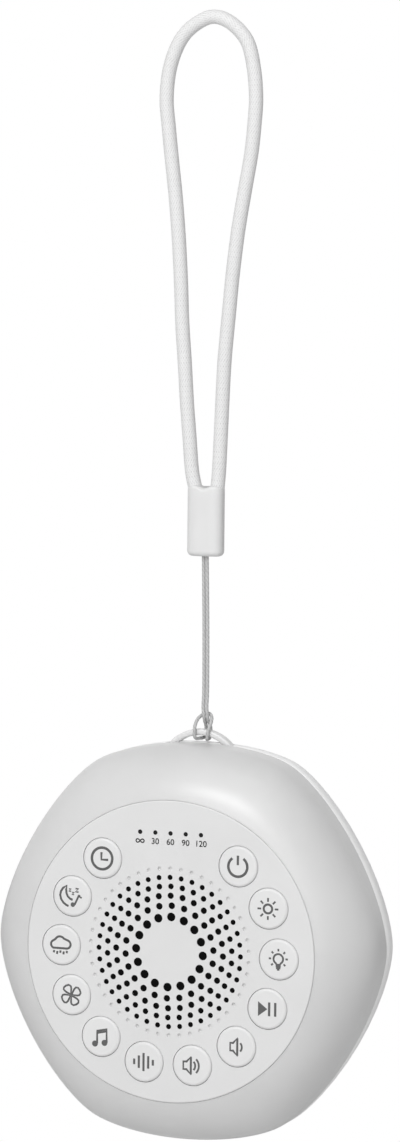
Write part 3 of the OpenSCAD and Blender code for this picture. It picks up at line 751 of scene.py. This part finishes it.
# Strokes are (points, closed, width); dots are (x, z, radius); fills are outlines
pictograms = {
    "timer": {"strokes": [(arcPoints(0, 0, 2.85, 0, 345, 40), True, 0.6),
                          ([(-0.2, 1.65), (-0.2, -0.3), (1.7, -0.3)], False, 0.55)]},
    "lullaby": {"strokes": [([(0.2, -0.95), (-0.55, -0.65), (-1.2, -0.05), (-1.55, 0.8), (-1.65, 1.7),
                              (-1.5, 2.75), (-2.5, 2.1), (-3.1, 1.2), (-3.3, 0.2), (-3.05, -0.9),
                              (-2.4, -1.8), (-1.6, -2.35), (-0.95, -2.65)], False, 0.5),
                            bar(2.0, 0.45, 0.75, -2.2, 0.45),
                            ([(2.0, 0.45), (2.2, -0.05), (2.75, -0.3)], False, 0.42),
                            (letterZ(-0.55, 1.6, 0.6), False, 0.36),
                            (letterZ(0.3, 0.75, 0.55), False, 0.36),
                            (letterZ(1.4, 1.65, 0.85), False, 0.4)],
                "dots": [(0.25, -2.2, 0.62)]},
    "rain": {"strokes": [(arcPoints(-1.75, 0.15, 1.05, 250, 110, 12)
                          + arcPoints(-0.3, 0.85, 1.4, 150, 40, 14)
                          + arcPoints(1.6, 0.25, 1.1, 80, -90, 14), True, 0.5)]
             + [bar(x, -1.45 - 0.2 * (k % 2), x - 0.1, -2.1 - 0.35 * (k % 2), 0.48)
                for k, x in enumerate((-1.9, -1.0, -0.1, 0.8, 1.7))]},
    "fan": {"strokes": [(blade(a), True, 0.45) for a in (44, 134, 224, 314)]},
    "music": {"strokes": [([(-0.95, -1.8), (-0.95, 1.55), (1.7, 2.15), (1.7, -1.45)], False, 0.5),
                          bar(-0.95, 1.0, 1.7, 1.6, 0.55)],
              "dots": [(-1.55, -1.9, 0.82), (1.1, -1.55, 0.82)]},
    "white_noise": {"strokes": [bar(x, tall, x, -tall, 0.52) for x, tall in
                                ((-2.6, 0.75), (-1.3, 1.65), (0, 2.4), (1.3, 1.65), (2.6, 0.75))]},
    "volume_up": {"strokes": horn(-2.35, -1.45, -0.25)
                  + [(arcPoints(-0.6, 0, 1.55, -45, 45, 10), False, 0.45),
                     (arcPoints(-0.6, 0, 2.55, -45, 45, 12), False, 0.45)]},
    "volume_down": {"strokes": horn(-1.55, -0.75, 0.4)
                    + [(arcPoints(0.1, 0, 1.55, -45, 45, 10), False, 0.45)]},
    "play": {"strokes": [bar(x, 1.8, x, -1.8, 0.55) for x in (0.65, 2.3)],
             "fills": [[(-2.4, 1.95), (-2.4, -1.95), (0.15, 0)]]},
    "night_light": {"strokes": [(arcPoints(0, 0.2, 1.3, -62, 242, 24)
                                 + [(-0.5, -1.25), (0.5, -1.25)], True, 0.45),
                                bar(-0.7, -1.6, 0.7, -1.6, 0.6),
                                bar(-0.6, -2.1, 0.6, -2.1, 0.55),
                                bar(-0.35, -2.55, 0.35, -2.55, 0.45)]
                    + [(ray(a, 1.95, 2.6, 0.25), False, 0.42) for a in (-42, 0, 45, 90, 135, 180, 222)]},
    "brightness": {"strokes": [(arcPoints(0, 0, 1.15, 0, 345, 24), True, 0.5)]
                   + [(ray(a, 1.85, 2.85), False, 0.42) for a in range(0, 360, 45)]},
    "power": {"strokes": [(arcPoints(0, 0, 2.6, 125, 415, 36), False, 0.6), bar(0, 2.9, 0, 0.4, 0.55)]},
}
printThickness = 0.03  # of the ink, half of it sunk in the face
inkSpread = 1.18  # how much wider a stroke prints than it is drawn


def meshedCurve(curve):
    # a curve or a text as a mesh in its own plane
    carrier = bpy.data.objects.new(curve.name, curve)
    bm = bmesh.new()
    bm.from_mesh(carrier.to_mesh())
    bpy.data.objects.remove(carrier)
    return bm


def printMesh(name, strokes=(), dots=(), fills=()):
    # the print as a flat mesh in its own plane, in metres
    curve = bpy.data.curves.new(name, "CURVE")
    curve.dimensions = "3D"
    curve.bevel_resolution = 2
    curve.use_fill_caps = True
    curve.bevel_depth = 0.0005  # so a width is in millimetres
    for points, closed, width in strokes:
        spline = curve.splines.new("POLY")
        spline.points.add(len(points) - 1)
        spline.use_cyclic_u = closed
        for point, (x, z) in zip(spline.points, points):
            point.co = (x / 1000, z / 1000, 0, 1)
            point.radius = width * inkSpread
    bm = meshedCurve(curve)
    for x, z, radius in dots:
        dot = bmesh.ops.create_uvsphere(bm, u_segments=20, v_segments=10, radius=radius / 1000)["verts"]
        bmesh.ops.translate(bm, vec=(x / 1000, z / 1000, 0), verts=dot)
    for outline in fills:
        corners = [bm.verts.new((x / 1000, z / 1000, -0.0001)) for x, z in outline]
        face = bm.faces.new(corners)
        lifted = bmesh.ops.extrude_face_region(bm, geom=[face])["geom"]
        top = [g for g in lifted if isinstance(g, bmesh.types.BMVert)]
        bmesh.ops.translate(bm, vec=(0, 0, 0.0002), verts=top)
    # whatever its depth so far, the print ends as thin as its ink
    tall = max(abs(vert.co.z) for vert in bm.verts)
    bmesh.ops.scale(bm, vec=(1, 1, printThickness / 2000 / tall), verts=bm.verts)
    bmesh.ops.recalc_face_normals(bm, faces=bm.faces)
    return bm


def layOnFace(bm, x, y, z):
    # turns the print upright to face the front and moves it on its place
    bmesh.ops.rotate(bm, cent=(0, 0, 0), matrix=Matrix.Rotation(pi / 2, 3, "X"), verts=bm.verts)
    bmesh.ops.translate(bm, vec=spot(x, y, z), verts=bm.verts)


def makeButton(name, x, z):
    # a cap with a rounded edge, a rim that the panel traps and a stem for the switch
    b = buttonRing
    quarter = [pi / 2 * k / 6 for k in range(7)]
    corner = [(b["face"] - b["edge"] * (1 - sin(a)), -b["proud"] + b["edge"] * (1 - cos(a)))
              for a in quarter]
    cap = [(0, -b["proud"]), *corner, (b["face"], b["rimFront"]), (b["rim"], b["rimFront"]),
           (b["rim"], b["rimBack"]), (b["stem"], b["rimBack"]), (b["stem"], b["stemEnd"]),
           (0, b["stemEnd"])]
    piece = finishPiece(spinProfile(cap, spot(x, 0, z), b["steps"]), name + "_button_cap", buttonPlastic,
                        name + "_key", [name + "_button"])
    shadeSmooth(piece, 32)
    bm = printMesh(name + "_print", **pictograms[name])
    layOnFace(bm, x, -b["proud"], z)
    finishPiece(bm, name + "_print", printedInk, name + "_key")


for i, name in enumerate(buttonNames):
    angle = radians(90 + 360 / buttonRing["places"] * (i + 1.5))
    makeButton(name, buttonRing["radius"] * cos(angle), buttonRing["radius"] * sin(angle))
print("buttons made")


def figureMesh(text):
    # the minutes of the timer, in figures
    font = bpy.data.curves.new("label_" + text, "FONT")
    font.body = text
    font.size = indicator["digit"] / 1000
    font.align_x, font.align_y = "CENTER", "CENTER"
    font.extrude = 0.0001  # to either side, 0.2 mm in all before it is flattened
    font.offset = indicator["digitSwell"] / 1000
    bm = meshedCurve(font)
    bmesh.ops.scale(bm, vec=(1, 1, indicator["digitThick"] / 0.2), verts=bm.verts)
    return bm


def endlessMesh():
    # a lying eight, for the timer that never ends
    s = indicator
    eight = []
    for k in range(32):
        a = 2 * pi * k / 32
        out = cos(a) / (1 + sin(a) ** 2)
        eight.append((s["loopWide"] * out, s["loopTall"] * out * sin(a)))
    return printMesh("label_on", [(eight, True, s["loopStroke"])])


for i, text in enumerate(("", "30", "60", "90", "120")):
    bm = figureMesh(text) if text else endlessMesh()
    layOnFace(bm, (i - 2) * indicator["pitch"], 0, indicator["labelHeight"])
    finishPiece(bm, "label_" + (text or "on"), labelInk, "housing")
print("labels printed")

# Finishes of the pieces inside: name, colour, roughness and whether it is metal, with what it looks like
innerFinishes = {
    "speaker_gasket": ("closedCellFoam", "#242424", 0.9, 0),          # dull, soft black
    "speaker_frame": ("platedPressedSteel", "#8A8A8A", 0.35, 1),      # a blurred metal gleam
    "speaker_cone": ("pressedPaperCone", "#2B2B2B", 0.85, 0),         # dull, a little grey
    "speaker_magnet": ("sinteredMagnet", "#4A4A4C", 0.4, 1),          # dark metal
    "speaker_retainer": ("mouldedRubber", "#1C1C1C", 0.8, 0),         # dull black
    "main_board": ("solderMaskedLaminate", "#1F5C38", 0.35, 0),       # green, glossy lacquer
    "push_switches": ("mouldedNylonSwitch", "#222222", 0.5, 0),       # satin black
    "indicator_leds": ("castEpoxyLed", "#E8DC9C", 0.2, 0),            # yellowish, glossy
    "night_light_leds": ("castEpoxyLamp", "#E8DC9C", 0.2, 0),         # yellowish, glossy
    "battery_cell": ("laminatedFoilPouch", "#B4B7BC", 0.35, 1),       # bright foil, softly blurred
    "battery_tape": ("foamTape", "#E0E0E0", 0.9, 0),                  # dull white
    "charge_board": ("solderMaskedLaminateSmall", "#1F5C38", 0.35, 0),  # green, glossy lacquer
    "charge_port": ("drawnStainlessShell", "#C4C4C4", 0.3, 1),        # bright metal, softly blurred
    "housing_screws": ("zincPlatedScrew", "#9A9A9A", 0.35, 1),        # grey metal
    "board_screws": ("zincPlatedSmallScrew", "#9A9A9A", 0.35, 1),     # grey metal
    "charge_board_screws": ("zincPlatedTinyScrew", "#9A9A9A", 0.35, 1),  # grey metal
}
for name, (finish, code, roughness, metal) in innerFinishes.items():
    nodes[name].data.materials.clear()
    nodes[name].data.materials.append(plainMaterial(finish, code, Roughness=roughness, Metallic=metal))
print("inner pieces painted")

studio = {
    "floorBelow": 60,  # millimetres that the machine hangs over the floor
    "floorReach": 4, "floorBack": 1.5,  # half the floor's side and how far back it lies, in metres
    "ambient": 0.43,   # light from all sides
    "lamps": [
        # name, place, length and width in metres, direction of the length, watts
        ("key", (-0.12, -1.34, 1.02), (0.7, 0.12), (-0.5, 0.27, 0.26), 8.2),
        ("front", (0.25, -1.62, 0.6), (1.4, 1.4), (1, 0, 0), 10.2),
        ("top", (0.05, -0.75, 1.5), (1.2, 1.2), (1, 0, 0), 5.0),
    ],
}


def addLamp(name, place, size, along, power):
    lampData = bpy.data.lights.new(name, "AREA")
    lampData.shape = "RECTANGLE"
    lampData.size, lampData.size_y = size
    lampData.energy = power
    lamp = bpy.data.objects.new(name, lampData)
    scene.collection.objects.link(lamp)
    away = Vector(place).normalized()
    length = (Vector(along) - away * away.dot(Vector(along))).normalized()
    turn = Matrix((length, away.cross(length), away)).transposed().to_4x4()
    lamp.matrix_world = Matrix.Translation(panelAt + Vector(place)) @ turn


def seenWhite(tree, glossToo=True):
    # 1 where the eye or a clear piece looks straight at this surface, and a gloss unless it is left out
    path = addNode(tree, "ShaderNodeLightPath")
    first = addNode(tree, "ShaderNodeMath", {"operation": "MAXIMUM"})
    tree.links.new(path.outputs["Is Camera Ray"], first.inputs[0])
    tree.links.new(path.outputs["Is Transmission Ray"], first.inputs[1])
    if not glossToo:
        return first.outputs[0]
    both = addNode(tree, "ShaderNodeMath", {"operation": "MAXIMUM"})
    tree.links.new(first.outputs[0], both.inputs[0])
    tree.links.new(path.outputs["Is Glossy Ray"], both.inputs[1])
    return both.outputs[0]


def addSurroundings():
    # a plain grey light from all sides that looks white itself
    world = bpy.data.worlds.new("studio")
    world.use_nodes = True
    scene.world = world
    tree = world.node_tree
    background = tree.nodes["Background"]
    background.inputs["Color"].default_value = paint("#FFFFFF")
    strength = addNode(tree, "ShaderNodeMapRange", {"To Min": studio["ambient"], "To Max": 1.0},
                       {"Value": seenWhite(tree)})
    tree.links.new(strength.outputs[0], background.inputs["Strength"])


def addFloor():
    # pale painted board that bounces light but is seen as pure white
    bm = bmesh.new()
    bmesh.ops.create_grid(bm, x_segments=1, y_segments=1, size=studio["floorReach"])
    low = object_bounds()[0].z - studio["floorBelow"] / 1000
    bmesh.ops.translate(bm, vec=(0, studio["floorBack"], low), verts=bm.verts)
    mesh = bpy.data.meshes.new("floor")
    bm.to_mesh(mesh)
    bm.free()
    floorPiece = bpy.data.objects.new("floor", mesh)
    scene.collection.objects.link(floorPiece)
    material = bpy.data.materials.new("paleStudioFloor")
    material.use_nodes = True
    tree = material.node_tree
    tree.nodes.remove(tree.nodes["Principled BSDF"])
    matt = addNode(tree, "ShaderNodeBsdfDiffuse", {"Color": paint("#E7E7E7")})
    glow = addNode(tree, "ShaderNodeEmission", {"Strength": 1.0})
    mix = addNode(tree, "ShaderNodeMixShader", {}, {"Fac": seenWhite(tree, glossToo=False)})
    tree.links.new(matt.outputs[0], mix.inputs[1])
    tree.links.new(glow.outputs[0], mix.inputs[2])
    tree.links.new(mix.outputs[0], tree.nodes["Material Output"].inputs["Surface"])
    mesh.materials.append(material)


addSurroundings()
for lamp in studio["lamps"]:
    addLamp(*lamp)
addFloor()
scene.view_settings.view_transform = "Standard"
print("studio made")
